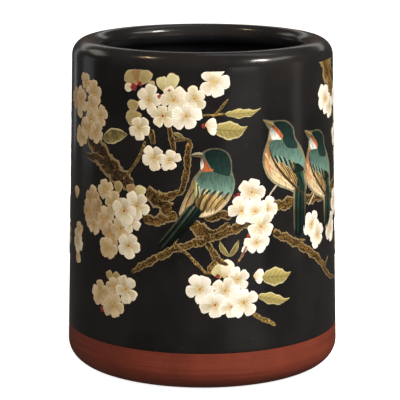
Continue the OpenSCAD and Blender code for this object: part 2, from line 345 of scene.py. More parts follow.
def leafRecipe(tree, maps, look):
    # one half in shade, side veins slanting from a midrib, and a pale margin
    wash = addNode(tree, "ShaderNodeTexNoise", [maps["place"], perMetre(look["washSize"]), 3])
    side = addNode(tree, "ShaderNodeMath", [maps["across"]], operation="ABSOLUTE")
    slant = addNode(tree, "ShaderNodeMath", [side, -0.16], operation="MULTIPLY")
    slant = addNode(tree, "ShaderNodeMath", [slant, maps["along"]])
    slant = addNode(tree, "ShaderNodeMath", [slant, look["veins"]], operation="MULTIPLY")
    slant = addNode(tree, "ShaderNodeMath", [slant], operation="SINE")
    base = layers(tree, maps["paint"], [
        (maps["across"], -0.2, 0.5, 0.6, 0, rgba(look["shade"]), "MIX"),
        (wash, 0.42, 0.64, 0, 0.7, rgba(look["wash"]), "MIX"),
        (slant, 0.5, 1, 0, 0.4, rgba(look["shade"]), "MIX"),
        (side, 0.02, 0.12, 0.8, 0, rgba(look["shade"]), "MIX"),
        (side, 0.72, 0.92, 0, 0.75, rgba(look["pale"]), "MIX")])
    return base, slant


def plumageRecipe(tree, maps, look):
    # down drawn as fine upright hairs, darker towards the top of each patch and the tip of each feather
    thin = addNode(tree, "ShaderNodeMapping", {"Vector": maps["place"], "Scale": (1, 1, 0.3)})
    hairs = addNode(tree, "ShaderNodeTexNoise", [thin, perMetre(look["hairGap"]), 2, 0.6])
    mottle = addNode(tree, "ShaderNodeTexNoise", [maps["place"], perMetre(look["mottleSize"]), 3, 0.6])
    light, dark = rgba(look["light"]), rgba(look["dark"])
    base = layers(tree, maps["paint"], [
        (maps["along"], 0.15, 0.9, 0, 0.75, dark, "MULTIPLY"),
        (maps["along"], 0, 0.5, 0.3, 0, light, "SOFT_LIGHT"),
        (hairs, 0.35, 0.55, 0.4, 0, dark, "MULTIPLY"),
        (hairs, 0.55, 0.75, 0, 0.35, light, "SOFT_LIGHT"),
        (mottle, 0.5, 0.75, 0, 0.5, light, "SOFT_LIGHT")])
    return base, hairs


def strokeRecipe(tree, maps, look):
    # a single loaded brush stroke, fuller and thinner along its run
    mottle = addNode(tree, "ShaderNodeTexNoise", [maps["place"], perMetre(look["mottleSize"]), 2])
    rows = [(mottle, 0.45, 0.7, 0, 0.35, rgba(look["light"]), "SOFT_LIGHT")]
    return layers(tree, maps["paint"], rows), mottle


# colours in sRGB hex, sizes and gaps of the patterns in millimetres
blackGlaze = glazedStoneware("blackGlossGlaze", {
    "deep": "#151414", "thin": "#201e1d", "speck": "#2c2826", "driftSize": 22.2, "speckGap": 3.85,
    "roughness": (0.15, 0.22), "waveSize": 14.3, "wave": 0.05, "peelSize": 1.11, "peel": 0.05})
linerGlaze = glazedStoneware("blackLinerGlaze", {
    "deep": "#121215", "thin": "#1b1b1e", "speck": "#262427", "driftSize": 16.7, "speckGap": 3.33,
    "roughness": (0.3, 0.42), "waveSize": 11.1, "wave": 0.1, "peelSize": 1, "peel": 0.1})
redClay = bareStoneware("bareRedStoneware", {
    "body": "#7d3826", "flashed": "#6b2e20", "shade": "#4c1c13", "grog": "#a8745a", "iron": "#34130d",
    "lineSize": 16.7, "cloudSize": 11.1, "grainSize": 0.526, "roughness": (0.38, 0.5)})
petalEnamel = enamel("blossomEnamel", {
    "wash": "#d3c79c", "vein": "#a89a6c", "throat": "#c6a04a", "rim": "#8a867c", "line": "#b09a70",
    "washSize": 2.38, "veins": 24, "roughness": (0.34, 0.46), "relief": 0.2}, petalRecipe)
barkEnamel = enamel("barkEnamel", {   # gold and dark multiply the stroke's own brown
    "gold": (4.4, 3.9, 2.5, 1), "dark": (0.24, 0.22, 0.22, 1), "line": "#8f7a54",
    "daubSize": 1, "crackGap": 1.25, "patchSize": 4.35, "roughness": (0.36, 0.5), "relief": 0.5},
                    barkRecipe)
leafEnamel = enamel("leafEnamel", {
    "wash": "#a3955a", "shade": "#76693a", "pale": "#d6cb9c",
    "washSize": 2.86, "veins": 44, "roughness": (0.34, 0.46), "relief": 0.3}, leafRecipe)
plumageEnamel = enamel("plumageEnamel", {
    "light": "#e2e6d8", "dark": "#5f6e68",
    "hairGap": 0.667, "mottleSize": 2.38, "roughness": (0.34, 0.46), "relief": 0.3}, plumageRecipe)
strokeEnamel = enamel("strokeEnamel", {
    "light": "#d0c8b8", "mottleSize": 1.11, "roughness": (0.32, 0.44), "relief": 0.3}, strokeRecipe)
print("materials made")

glazeOut = outerSkin(0)
edge = pot["glazeEdge"]
glazeLow = glazeOut[0][0]
glazeFoot = arc([glazeLow[0] - edge, glazeLow[1] + edge], edge, -90, 0,
                6)   # the glaze ends in a small round
glazeOut[0] = np.concatenate([glazeFoot, glazeOut[0][1:]])
glazeBack = [part[::-1] for part in outerSkin(pot["glaze"])[::-1]]
points, faces = lathe(np.concatenate(glazeOut + glazeBack), True)
makePiece("outerGlaze", points, faces, [blackGlaze], "outer_glaze")

profile = np.concatenate([part[::-1] for part in innerSkin(0)[::-1]] + innerSkin(pot["glaze"]))
points, faces = lathe(profile, False)
makePiece("linerGlaze", points, [face[::-1] for face in faces], [linerGlaze], "inner_glaze")

ease = pot["footEase"]
footRing = footAt[0] - pot["footRing"]
glazeSeat = np.array([wallRadius(pot["glazeLine"]), pot["glazeLine"]])
profile = np.concatenate([
    straight([0, pot["recess"]], [footRing - pot["recessDraft"] - ease, pot["recess"]], 16),
    arc([footRing + ease, ease], ease, 180, 270, 6),
    straight([footRing + 2 * ease, 0], [footAt[0], 0], 4)[1:-1],
    arc(footAt, pot["foot"], -90, leanDegrees, 22)[:-1],
    straight(footAt + pot["foot"] * outward, glazeSeat, 10),
    *outerSkin(pot["glaze"]),
    innerSkin(pot["glaze"])[0][1:],
    *innerSkin(pot["glaze"])[1:]])
points, faces = lathe(profile, False)
makePiece("clayBody", points, faces, [redClay], "clay_body")
print("vessel turned")

transfer = {
    "radius": 46.6,      # the wall's mean radius, which turns lengths along the print into angles
    "repeat": 146.4,     # the same print again behind
    "top": 108.4,        # the transfer is cut level here
    "skin": 0.03,        # thickness of one layer of enamel
    "under": -0.03,      # how far a stroke's base is let into the glaze
    "crease": 50,        # edges that turn by more than this many degrees stay sharp
}
# heights of the strokes over the glaze, in the order in which they were laid
lifts = {"bark": 0.03, "stalk": 0.05, "loosePetal": 0.07, "leaf": 0.09, "brownLeaf": 0.1, "bird": 0.1,
         "sepal": 0.105, "flower": 0.12, "feather": 0.19}
petalFinish, barkFinish, leafFinish, plumageFinish, strokeFinish = range(5)
finishes = [petalEnamel, barkEnamel, leafEnamel, plumageEnamel, strokeEnamel]


def ontoWall(s, z, lift):
    # angle = s / mean radius; (radius of the wall there + wobble + lift) * (sin, -cos) and z
    angle = s / transfer["radius"]
    r = wallRadius(z) + wobble(angle, z) + lift
    return np.stack([r * np.sin(angle), -r * np.cos(angle), z], -1) / 1000


def smoothLine(points, count, closed=False):
    # cubic through the given points: 0.5 (2b + (c-a) f + (2a-5b+4c-d) f^2 + (3b-a-3c+d) f^3)
    p = np.array(points, float)
    before = p[-1:] if closed else 2 * p[:1] - p[1:2]
    after = p[:2] if closed else 2 * p[-1:] - p[-2:-1]
    p = np.concatenate([before, p, after])
    spans = len(p) - 3
    t = np.arange(count) * spans / count if closed else np.linspace(0, spans, count)
    i = np.minimum(t.astype(int), spans - 1)
    f = (t - i)[:, None]
    a, b, c, d = p[i], p[i + 1], p[i + 2], p[i + 3]
    square, cube = 2 * a - 5 * b + 4 * c - d, 3 * b - a - 3 * c + d
    return 0.5 * (2 * b + (c - a) * f + square * f ** 2 + cube * f ** 3)


def asPaint(colour, count):
    # the linear colour of a hex text, once for each of count shapes
    return np.tile(hexColour(colour), (count, 1))


def sideways(step):
    # unit normal of each step: (-y, x) / length
    length = np.maximum(np.linalg.norm(step, axis=-1, keepdims=True), 1e-9)
    return np.stack([-step[..., 1], step[..., 0]], -1) / length


def polar(angle, radius=1):
    # radius * (cos, sin)
    return np.stack([radius * np.cos(angle), radius * np.sin(angle)], -1)


def patches(outline, heart, lift, paint, along, across, finish):
    # each outline drawn in rings about its heart, level at its lift with a bevelled edge, and closed
    # below: point = heart + ring * (outline - heart)
    count, around = outline.shape[:2]
    rings = np.array([0.5, 0.92, 1, 1])
    depth = lift[:, None] - np.array([0, 0, 1, 0]) * transfer["skin"]
    depth[:, -1] = transfer["under"]
    grown = heart[:, None, None] + rings[None, :, None, None] * (outline - heart[:, None])[:, None]
    depth = np.broadcast_to(depth[..., None, None], grown.shape[:3] + (1,))
    grown = np.concatenate([grown, depth], -1).reshape(count, -1, 3)
    top = np.concatenate([heart, lift[:, None]], 1)[:, None]
    low = np.concatenate([heart, np.full((count, 1), transfer["under"])], 1)[:, None]
    points = np.concatenate([top, grown, low], 1)
    middle = along.mean(1, keepdims=True), across.mean(1, keepdims=True)
    lie = [np.concatenate([m, (m[:, None] + rings[:, None] * (v - m)[:, None]).reshape(count, -1), m], 1)
           for m, v in zip(middle, (along, across))]
    edges = np.concatenate([[0], np.repeat(rings, around), [0]])
    j = np.arange(around)
    following = (j + 1) % around
    quads = np.concatenate([1 + k * around + np.stack([following, around + following, around + j, j], 1)
                            for k in range(len(rings) - 1)])
    last = 1 + (len(rings) - 1) * around
    fans = np.concatenate([np.stack([0 * j, 1 + following, 1 + j], 1),
                           np.stack([0 * j + last + around, last + j, last + following], 1)])
    return gather(points, np.stack(lie, -1), np.tile(edges, (count, 1)), paint, quads, fans, finish)


def ribbons(line, half, lift, paint, finish, slim=False, whole=False):
    # each line swept by a flat section: point = line + v * half * (line's normal), bevelled at v = 1
    # and closed below and at both ends; along runs in 10 mm, or over the whole line from 0 to 1
    count, rows = line.shape[:2]
    v = np.array([-1, 0, 1] if slim else [-1, -0.9, -0.5, 0, 0.5, 0.9, 1, 1, -1])
    drop = np.array([2, 0, 2] if slim else [1, 0.1, 0, 0, 0, 0.1, 1, 2, 2])   # in skins, 2 for the base
    normal = sideways(np.gradient(line, axis=1))
    flat = line[:, :, None] + v[:, None] * half[..., None, None] * normal[:, :, None]
    depth = np.where(drop == 2, transfer["under"], lift[:, None, None] - drop * transfer["skin"])
    depth = np.broadcast_to(depth, flat.shape[:3])
    points = np.concatenate([flat, depth[..., None]], -1).reshape(count, -1, 3)
    steps = np.linalg.norm(np.diff(line, axis=1), axis=-1)
    length = np.concatenate([np.zeros((count, 1)), np.cumsum(steps, 1)], 1)
    length = length / (length[:, -1:] if whole else 10)
    around = len(v)
    lie = np.stack([np.repeat(length, around, 1), np.tile(v, (count, rows))], -1)
    edges = np.tile(np.abs(v), (count, rows))
    i, j = np.meshgrid(np.arange(rows - 1), np.arange(around), indexing="ij")
    here, following = i * around + j, i * around + (j + 1) % around
    quads = np.stack([here, here + around, following + around, following], -1).reshape(-1, 4)
    k = np.arange(1, around - 1)
    end = (rows - 1) * around
    caps = np.concatenate([np.stack([0 * k, k, k + 1], 1), end + np.stack([k + 1, k, 0 * k], 1)])
    return gather(points, lie, edges, paint, quads, caps, finish)


def gather(points, lie, edges, paint, quads, tris, finish):
    # the same faces for every shape, each set moved on by the points before it
    count, each = points.shape[:2]
    move = (np.arange(count) * each)[:, None, None]
    draw = np.repeat(chance.random(count), each)
    return {"points": points.reshape(-1, 3), "lie": lie.reshape(-1, 2),
            "rim": np.stack([edges.reshape(-1), draw], 1), "paint": np.repeat(paint, each, 0),
            "quads": (quads[None] + move).reshape(-1, 4), "tris": (tris[None] + move).reshape(-1, 3),
            "finish": finish}


def printPiece(name, node, strokes):
    # all strokes of one CAD node, on the front and again behind, as one piece
    used = sorted({stroke["finish"] for stroke in strokes})
    points, faces, finish, start = [], [], [], 0
    for shift in (0, transfer["repeat"]):
        for stroke in strokes:
            s, z, lift = stroke["points"].T
            points.append(ontoWall(s + shift, np.minimum(z, transfer["top"]), lift))
            faces += (stroke["quads"] + start).tolist() + (stroke["tris"] + start).tolist()
            finish.append(np.full(len(stroke["quads"]) + len(stroke["tris"]), used.index(stroke["finish"])))
            start += len(s)
    lie, rim, paint = [np.concatenate([stroke[key] for stroke in 2 * strokes]) for key in ("lie", "rim",
                                                                                           "paint")]
    makePiece(name, np.concatenate(points), faces, [finishes[k] for k in used], node,
              (("lie", lie), ("rim", rim)), paint, np.concatenate(finish), transfer["crease"])


def outlines(shapes, lift, finish, around=44):
    # closed outlines, each (colour, points), one layer above the last
    made = []
    for k, (colour, points) in enumerate(shapes):
        line = smoothLine(points, around, True)[None]
        heart = line.mean(1)
        size = np.abs(line[..., 1] - heart[:, 1:]).max()
        upright = (line[..., 1] - heart[:, 1:]) / size / 2 + 0.5
        layer = np.array([lift + k * 0.012])
        made.append(patches(line, heart, layer, asPaint(colour, 1), upright, 0 * upright, finish))
    return made


def limbs(shapes, lift, finish=barkFinish, rough=0.12):
    # open strokes, each (colour, points of s, z, half width), one layer above the last; bark swells
    # and pinches along t mm: width * (1 + rough (sin 1.3t + 0.9 sin 3.1t + 0.6 sin 6.7t)), and wanders
    made = []
    for k, (colour, points) in enumerate(shapes):
        run = np.linalg.norm(np.diff(np.array(points)[:, :2], axis=0), axis=1).sum()
        rows = max(9, int(run / 0.4))
        line = smoothLine(points, rows)
        t = np.linspace(0, run, rows)
        ends = np.sqrt(np.clip(np.minimum(t, run - t) / 0.7, 0.03, 1))   # both ends rounded off
        swell = np.sin(1.3 * t + 2 * k) + 0.9 * np.sin(3.1 * t + k) + 0.6 * np.sin(6.7 * t + 5 * k)
        width = line[:, 2] * ends * (1 + rough * swell)
        line[:, 1] += 1.5 * rough * line[:, 2] * np.sin(1.1 * t + k)
        layer = np.array([lift + k * 0.01])
        made.append(ribbons(line[None, :, :2], width[None], layer, asPaint(colour, 1), finish))
    return made


leafShape = {"rows": 36, "fullness": 0.8, "wave": 19, "curlFrom": 0.68, "curlSlant": 0.45, "slimTip": 0.35}


def leaves(shapes, lift):
    # each leaf is (colour, stem, bend, tip, half width, waviness, curl): a centre line through the three,
    # with the end moved by curl * late^2, late going from 0 to 1 over its last part, and half its width
    # sin(pi u^0.8)^0.8 * (1 + waviness * sin(19 u)), slimmer where it curls
    made = []
    u = np.linspace(0, 1, leafShape["rows"])
    late = np.clip((u - leafShape["curlFrom"]) / (1 - leafShape["curlFrom"]), 0, 1)
    full = np.clip(np.sin(np.pi * u ** leafShape["fullness"]), 0.01, 1) ** leafShape["fullness"]
    for k, (colour, stem, bend, tip, half, waves, curl) in enumerate(shapes):
        line = smoothLine([stem, bend, tip], leafShape["rows"])
        line += curl * late[:, None] ** 2 * np.array([leafShape["curlSlant"], 1])
        width = half * full * (1 + waves * np.sin(leafShape["wave"] * u + k))
        width *= 1 - leafShape["slimTip"] * late * (curl > 0)
        layer = np.array([lift + k * 0.01])
        made.append(ribbons(line[None], width[None], layer, asPaint(colour, 1), leafFinish, whole=True))
    return made


petalShape = {"notch": 0.05, "scallop": 0.028, "around": 15, "width": 0.545, "heel": 0.34, "heart": 0.55}


def petals(base, tip, width, lift, paint, finish=petalFinish):
    # each petal runs from base to tip: a = (1 - cos p) / 2 along, sin p * (heel + (1 - heel) a^0.8) across,
    # with a notch at the tip and a scalloped edge
    count, around = len(base), petalShape["around"]
    p = np.arange(around) * 2 * np.pi / around
    a = (1 - np.cos(p)) / 2
    phase = chance.random((count, 1)) * 6
    notch = petalShape["notch"] * np.exp(-((p - np.pi) / 0.3) ** 2)
    ripple = 1 + petalShape["scallop"] * np.sin(5 * p + phase)
    along = (a - notch) * ripple
    across = np.sin(p) * (petalShape["heel"] + (1 - petalShape["heel"]) * a ** 0.8) * ripple
    axis = tip - base
    out = (across * width[:, None])[..., None] * sideways(axis)[:, None]
    outline = base[:, None] + along[..., None] * axis[:, None] + out
    heart = base + petalShape["heart"] * axis
    return patches(outline, heart, lift, paint, np.tile(a, (count, 1)), across, finish)


flowerShape = {
    "drawn": (0, 2, 4, 1, 3),        # the order in which its five petals overlap
    "start": 0.03, "turnSpread": 0.07, "sizeSpread": 0.05, "shadeSpread": 0.05,
    "lowestShade": 0.9, "shadeStep": 0.03,
    "layer": 0.01, "petalLayer": 0.0018, "stamenLayer": 0.0105, "headLayer": 0.0115, "eyeLayer": 0.012,
    "stamens": 9, "stamenTurn": 0.15, "stamenReach": (0.2, 0.36), "stamenHalf": (0.08, 0.07, 0.06, 0.02),
    "headRadius": 0.14, "eyeRadius": 0.09, "stamenTint": "#c9974a", "headTint": "#a8702c",
    "eyeTint": "#b98a3c",
}


def blossoms(rows, lift):
    # open flowers, each (s, z, radius, turn, tilt, tilt direction, tone, and at times the eye's colour):
    # five petals at 72 degrees, pulled in along the tilt, then a ring of stamens with their heads
    shape, count = flowerShape, len(rows)
    flower = np.array([row[:6] for row in rows], float)
    tone = np.array([hexColour(tones[row[6]]) for row in rows])
    centre, r, tilt = flower[:, :2], flower[:, 2], flower[:, 4]
    turn, way = np.radians(flower[:, 3]), polar(np.radians(flower[:, 5]))

    def foreshorten(offset, owner):
        # the part along the tilt direction is shortened, and pushed a little to the near side
        d, much = way[owner], tilt[owner, None]
        part = (offset * d).sum(-1, keepdims=True)
        return offset - much * part * d + 0.25 * much * np.linalg.norm(offset, axis=-1, keepdims=True) * d

    owner, order, many = np.repeat(np.arange(count), 5), np.tile(np.arange(5), count), count * 5
    place = np.array(shape["drawn"])[order]
    angle = turn[owner] + np.radians(72) * place + chance.normal(0, shape["turnSpread"], many)
    reach = r[owner] * (1 + chance.normal(0, shape["sizeSpread"], many))
    direction = polar(angle)
    base = centre[owner] + foreshorten(direction * shape["start"] * reach[:, None], owner)
    tip = centre[owner] + foreshorten(direction * reach[:, None], owner)
    squash = np.abs(direction[:, 0] * way[owner, 1] - direction[:, 1] * way[owner, 0])
    width = petalShape["width"] * reach * (1 - 0.6 * tilt[owner] * squash)
    width = width * (1 + chance.normal(0, shape["sizeSpread"], many))
    layer = lift + owner * shape["layer"] + order * shape["petalLayer"]
    depth = shape["lowestShade"] + shape["shadeStep"] * order[:, None]
    shade = tone[owner] * depth * (1 + chance.normal(0, shape["shadeSpread"], (many, 1)))
    made = [petals(base, tip, width, layer, np.clip(shade, 0, 1))]

    stamens, many = shape["stamens"], count * shape["stamens"]
    owner = np.repeat(np.arange(count), stamens)
    spoke = np.tile(np.arange(stamens), count) * 2 * np.pi / stamens
    angle = turn[owner] + spoke + chance.normal(0, shape["stamenTurn"], many)
    reach = r[owner] * chance.uniform(*shape["stamenReach"], many)
    far = foreshorten(polar(angle) * reach[:, None], owner)
    line = centre[owner][:, None] + far[:, None] * np.linspace(0.12, 1, 4)[None, :, None]
    half = np.tile(shape["stamenHalf"], (many, 1))
    layer = lift + owner * shape["layer"]
    tint = asPaint(shape["stamenTint"], many)
    made.append(ribbons(line, half, layer + shape["stamenLayer"], tint, strokeFinish, True))

    heads, none = centre[owner] + far, np.zeros((many, 6))
    dots = heads[:, None] + polar(np.arange(6) * np.pi / 3, shape["headRadius"])
    tint = asPaint(shape["headTint"], many)
    made.append(patches(dots, heads, layer + shape["headLayer"], tint, none, none, strokeFinish))

    none = np.zeros((count, 10))
    dots = centre[:, None] + (shape["eyeRadius"] * r)[:, None, None] * polar(np.arange(10) * np.pi / 5)
    tint = np.array([hexColour(row[7] if len(row) > 7 else shape["eyeTint"]) for row in rows])
    layer = lift + np.arange(count) * shape["layer"] + shape["eyeLayer"]
    made.append(patches(dots, centre, layer, tint, none, none, strokeFinish))
    return made


def loosePetals(rows, lift):
    # single petals, each (base s, z, tip s, z, half width, tone)
    data = np.array([row[:5] for row in rows], float)
    tone = np.array([hexColour(tones[row[5]]) for row in rows])
    return [petals(data[:, :2], data[:, 2:4], data[:, 4] / 0.78, lift + np.arange(len(rows)) * 0.004, tone)]


sepalShape = {"fan": 32, "outer": 0.85, "width": 0.35, "spread": 0.12, "tint": "#8c2f33"}


def calyxes(rows, lift):
    # small pointed sepals, each (s, z, angle, length): three slim petals side by side
    data = np.repeat(np.array(rows, float), 3, 0)
    count = len(data)
    angle = np.radians(data[:, 2] + sepalShape["fan"] * np.tile([-1, 0, 1], len(rows)))
    length = data[:, 3] * np.tile([sepalShape["outer"], 1, sepalShape["outer"]], len(rows))
    tip = data[:, :2] + length[:, None] * polar(angle)
    paint = asPaint(sepalShape["tint"], count) * (1 + chance.normal(0, sepalShape["spread"], (count, 1)))
    layer = lift + np.arange(count) * 0.002
    return [petals(data[:, :2], tip, length * sepalShape["width"], layer, np.clip(paint, 0, 1),
                   strokeFinish)]


def feathers(starts, ends, half, lift, colours, bow):
    # a row of tapered feathers, from points along the line starts to points along the line ends, each
    # bowed sideways: line = start + t (end - start) + bow sin(pi t) normal; width = half * taper
    count = len(colours)
    a, b = smoothLine(starts, count), smoothLine(ends, count)
    t = np.linspace(0, 1, 9)[None, :, None]
    axis = b - a
    line = a[:, None] + t * axis[:, None] + bow * np.sin(np.pi * t) * sideways(axis)[:, None]
    taper = np.array([0.55, 0.85, 1, 1, 0.97, 0.9, 0.75, 0.5, 0.06])
    layer = lift + np.arange(count) * 0.003
    paint = np.array([hexColour(colour) for colour in colours])
    return [ribbons(line, np.tile(half * taper, (count, 1)), layer, paint, plumageFinish)]


# warm and tan are partly painted shade: the petals on the left side get them to look darker, as if in shade,
# on top of the print's own tan
tones = {"white": "#fbf4e9", "cream": "#f2e8d2", "warm": "#ddc6a0", "tan": "#c9ac85", "olive": "#d2c997",
         "moss": "#b09d6c", "brown": "#a8885c"}

# open flowers, each with where it is, its radius, its turn, how far it is tilted and which way, its tone;
# the warm and tan tones of the clusters on the left are partly the print's own tan and partly painted shade,
# that side being away from the key lamp
flowers = {
    "upperLeft": [
        (-48.2, 101.4, 4.2, 70, 0.25, 60, "warm"), (-42.6, 98.8, 4.6, 20, 0.15, 10, "warm"),
        (-57, 94.8, 4.6, 100, 0.1, 90, "tan"), (-51.6, 95.4, 5, 40, 0.15, 40, "warm"),
        (-43.6, 94, 4.4, 50, 0.1, 0, "warm"), (-39, 91.6, 4.2, 10, 0.2, 330, "warm", "#a07030"),
        (-44.6, 89.6, 4.2, 80, 0.1, 0, "warm", "#a07030"), (-46.8, 86.2, 4.6, 30, 0.1, 240, "warm"),
        (-41.4, 85.4, 4.3, 60, 0.15, 300, "warm"), (-51.6, 83, 4.8, 55, 0.25, 270, "warm")],
    "top": [
        (-18.4, 98.6, 5.2, 75, 0.1, 0, "cream"), (-9.6, 99, 5.6, 50, 0.15, 60, "cream"),
        (-2.6, 99.6, 4.6, 30, 0.2, 20, "cream"), (3.8, 105.2, 6, 0, 0.2, 0, "white", "#cdb36a"),
        (-21.9, 89, 4.8, 55, 0.2, 310, "cream"), (-13.4, 93.6, 4.6, 20, 0.15, 270, "cream", "#8c3a1c"),
        (-5.4, 93.8, 5.2, 85, 0.15, 280, "white")],
    "pair": [(-16.4, 79.6, 4.8, 60, 0.1, 240, "cream"), (-11, 79, 4.2, 20, 0.25, 310, "cream")],
    "left": [
        (-43.6, 62.6, 4.6, 85, 0.15, 120, "tan"), (-45.4, 58, 4.4, 40, 0.15, 200, "tan"),
        (-42.4, 53.6, 4.4, 20, 0.4, 270, "warm", "#8a6a30"), (-40.6, 59.2, 4.2, 60, 0.1, 0, "tan",
                                                              "#8a5a28"),
        (-36.2, 66.6, 4.2, 100, 0.2, 120, "warm"), (-36.4, 56.8, 4.8, 30, 0.1, 0, "warm"),
        (-32, 62.2, 5, 85, 0.1, 0, "warm", "#a8481c"), (-33.4, 51.6, 4.6, 10, 0.15, 200, "tan"),
        (-34.6, 47, 4.6, 80, 0.2, 250, "warm"), (-29, 54.4, 4.8, 45, 0.15, 300, "warm", "#a8601c"),
        (-25, 57.2, 4.2, 40, 0.15, 300, "cream"), (-22.6, 62.9, 5.4, 55, 0.1, 20, "cream"),
        (-27.6, 60.6, 5, 80, 0.1, 250, "cream", "#9c3a14"), (-25.8, 49, 5, 65, 0.1, 300, "cream",
                                                             "#a8601c")],
    "farLeft": [(-54, 45.6, 4.8, 50, 0.1, 0, "cream"), (-52.6, 50.4, 3.2, 80, 0.2, 90, "warm")],
    "lowLeft": [
        (-38.4, 30.4, 5, 95, 0.1, 180, "warm"), (-32.2, 34, 4, 30, 0.1, 300, "warm"),
        (-26.8, 33.8, 5.2, 50, 0.1, 0, "cream"), (-32.2, 27.2, 4.8, 70, 0.15, 300, "warm")],
    "low": [
        (-0.8, 35.8, 5.4, 55, 0.1, 190, "white"), (11.8, 38.8, 4.4, 30, 0.15, 30, "white"),
        (7.6, 35.2, 5, 70, 0.1, 90, "white"), (4.2, 30.4, 5.4, 50, 0.15, 260, "white", "#b06a2c"),
        (9.6, 29.6, 4.6, 55, 0.2, 270, "white"), (13.8, 30.8, 5.6, 20, 0.1, 320, "white")],
    "centre": [
        (16.8, 68, 5.2, 70, 0.15, 60, "white"), (13.2, 62, 5.2, 40, 0.1, 200, "white"),
        (22.4, 61.8, 4.8, 0, 0.15, 0, "white"), (18, 61.4, 4.6, 20, 0.1, 0, "white"),
        (20, 56.2, 5.4, 50, 0.15, 330, "white"), (18.4, 50.8, 5, 90, 0.3, 270, "white")],
    "right": [
        (42.6, 53.8, 5.2, 60, 0.1, 120, "white"), (46.2, 49.6, 5.2, 30, 0.15, 330, "white"),
        (57.6, 49.8, 5.6, 70, 0.1, 0, "white"), (63.4, 57.8, 4.8, 40, 0.1, 0, "white")],
    "upperRight": [(53.4, 95.4, 6, 65, 0.1, 90, "white"), (58.2, 92, 4.6, 30, 0.15, 300, "white")],
    "side": [
        (67, 95, 4.8, 20, 0.1, 0, "white"), (70, 88, 4.6, 50, 0.1, 40, "white"),
        (66, 81, 4.6, 80, 0.15, 90, "white"),
        (70, 74, 4.8, 30, 0.1, 0, "white"), (68, 58, 4.6, 60, 0.1, 0, "white"),
        (73, 54, 4.6, 10, 0.1, 0, "white"),
        (78, 45, 4.6, 40, 0.1, 0, "white"), (72, 41, 4.6, 70, 0.1, 0, "white")],
}
# single petals, each from its base to its tip, with its half width and tone
singles = {
    "upperLeft": [(-52.6, 94, -53.6, 88.8, 2.6, "warm"), (-47.6, 89.6, -50.8, 86.8, 1.8, "warm")],
    "top": [
        (-22.6, 103.4, -27.6, 107.2, 2.6, "moss"), (-22.4, 103.2, -22.6, 109.4, 2.8, "brown"),
        (-22.2, 103.4, -18, 108.6, 2.4, "moss"), (-23.6, 103, -27.9, 101.8, 1.5, "cream"),
        (-17.6, 101.6, -17.4, 105.2, 1.3, "moss"), (-12.6, 101.6, -14.4, 106.6, 2.1, "olive"),
        (-11.2, 101.4, -9.4, 107.9, 2.3, "olive"), (-22, 97.4, -26.4, 95.4, 2.3, "moss"),
        (-21, 93.6, -27.2, 91.4, 2.7, "moss")],
    "left": [(-43.2, 63.4, -42.6, 67.4, 2, "warm"), (-30.4, 66, -30.2, 70.6, 1.9, "moss"),
             (-24.4, 65.8, -25.4, 70.2, 1.9, "brown"), (-21.8, 65.6, -21, 70, 2.1, "olive")],
    "farLeft": [(-55.4, 60.4, -55.6, 65, 2.4, "warm"), (-53.8, 43, -53.4, 37.8, 2.2, "warm")],
    "lowLeft": [
        (-32.6, 35.2, -34.9, 39.2, 1.6, "moss"), (-32.2, 35.2, -30.2, 39.2, 1.5, "moss"),
        (-33.4, 27.4, -33.8, 32.6, 1.3, "brown")],
    "low": [
        (6, 39.4, 3.6, 44.4, 2.2, "olive"), (7, 39.4, 9, 45.8, 2.4, "cream"),
        (17.2, 39.4, 21.2, 39.8, 2.2, "white"), (17.8, 38.6, 20.4, 37.2, 1.1, "white")],
    "centre": [(15.6, 51.6, 13.4, 47.6, 0.9, "white")],
    "topBuds": [(0.8, 90.8, 5, 91.2, 2.2, "white"), (1.6, 89.8, 4.6, 88, 1.2, "white")],
}
sepals = {
    "top": [(-22.6, 103.4, 30, 1.8), (-23, 103, 200, 2.6), (-12.6, 101.6, 60, 1.2), (-14.8, 99.2, 70, 1.6),
            (-0.4, 90.4, 10, 1.5), (-11.2, 101.6, 80, 1)],
    "lowLeft": [(-32.4, 34.6, 90, 1.4), (-37.8, 24.2, 60, 2.2)],
    "low": [(4.2, 37.6, 250, 1.6), (5.2, 39.4, 100, 1.6)],
    "centre": [(15.4, 54, 300, 2.2), (10.4, 65.8, 40, 1.8), (11.4, 67.6, 330, 1.6)],
    "right": [(52.4, 50.6, 0, 1.6)],
}
decals = {
    "upperLeft": "blossoms_upper_left", "top": "blossoms_top", "pair": "blossoms_pair",
    "left": "blossoms_left",
    "farLeft": "blossoms_far_left", "lowLeft": "blossoms_low_left", "low": "blossoms_low",
    "centre": "blossoms_centre", "right": "blossoms_right", "upperRight": "blossoms_upper_right",
    "side": "blossoms_side",
}
for key, node in decals.items():
    strokes = []
    if key in singles:
        strokes += loosePetals(singles[key], lifts["loosePetal"])
    if key in sepals:
        strokes += calyxes(sepals[key], lifts["sepal"])
    strokes += blossoms(flowers[key], lifts["flower"])
    if key == "top":
        strokes += loosePetals(singles["topBuds"], lifts["flower"])
    printPiece(key + "Blossoms", node, strokes)
print("blossoms printed")

